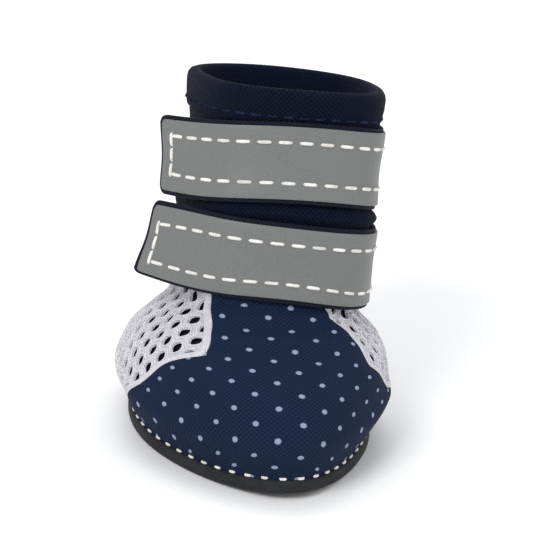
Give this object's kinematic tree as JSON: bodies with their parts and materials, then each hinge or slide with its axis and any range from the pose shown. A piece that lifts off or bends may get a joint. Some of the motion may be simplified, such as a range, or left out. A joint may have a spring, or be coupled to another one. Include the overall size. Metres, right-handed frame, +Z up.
{
  "type": "dog boot",
  "caption": "Small dog's boot: rubber cup sole, dotted cloth vamp, net sides and a cloth shaft held by two stitched reflective straps",
  "frame": {"origin": "On the floor under the middle of the sole", "axes": "+Z up, the toe points to -Y, the free strap ends are on the -X side"},
  "size_m": [0.0429, 0.0639, 0.059],
  "materials": {
    "sole_rubber": "matt moulded rubber",
    "insole_foam": "knit-faced foam sheet",
    "upper_cloth": "woven cloth with pale dots, pale open net at the sides",
    "shaft_cloth": "brushed loop cloth",
    "strap_tape": "reflective tape on hook-and-loop webbing, pale stitching"
  },
  "bodies": {
    "root": {"outsole": "sole_rubber", "insole": "insole_foam", "upper": "upper_cloth", "shaft": "shaft_cloth", "strap_lower": "strap_tape", "strap_upper": "strap_tape"}
  },
  "joints": []
}
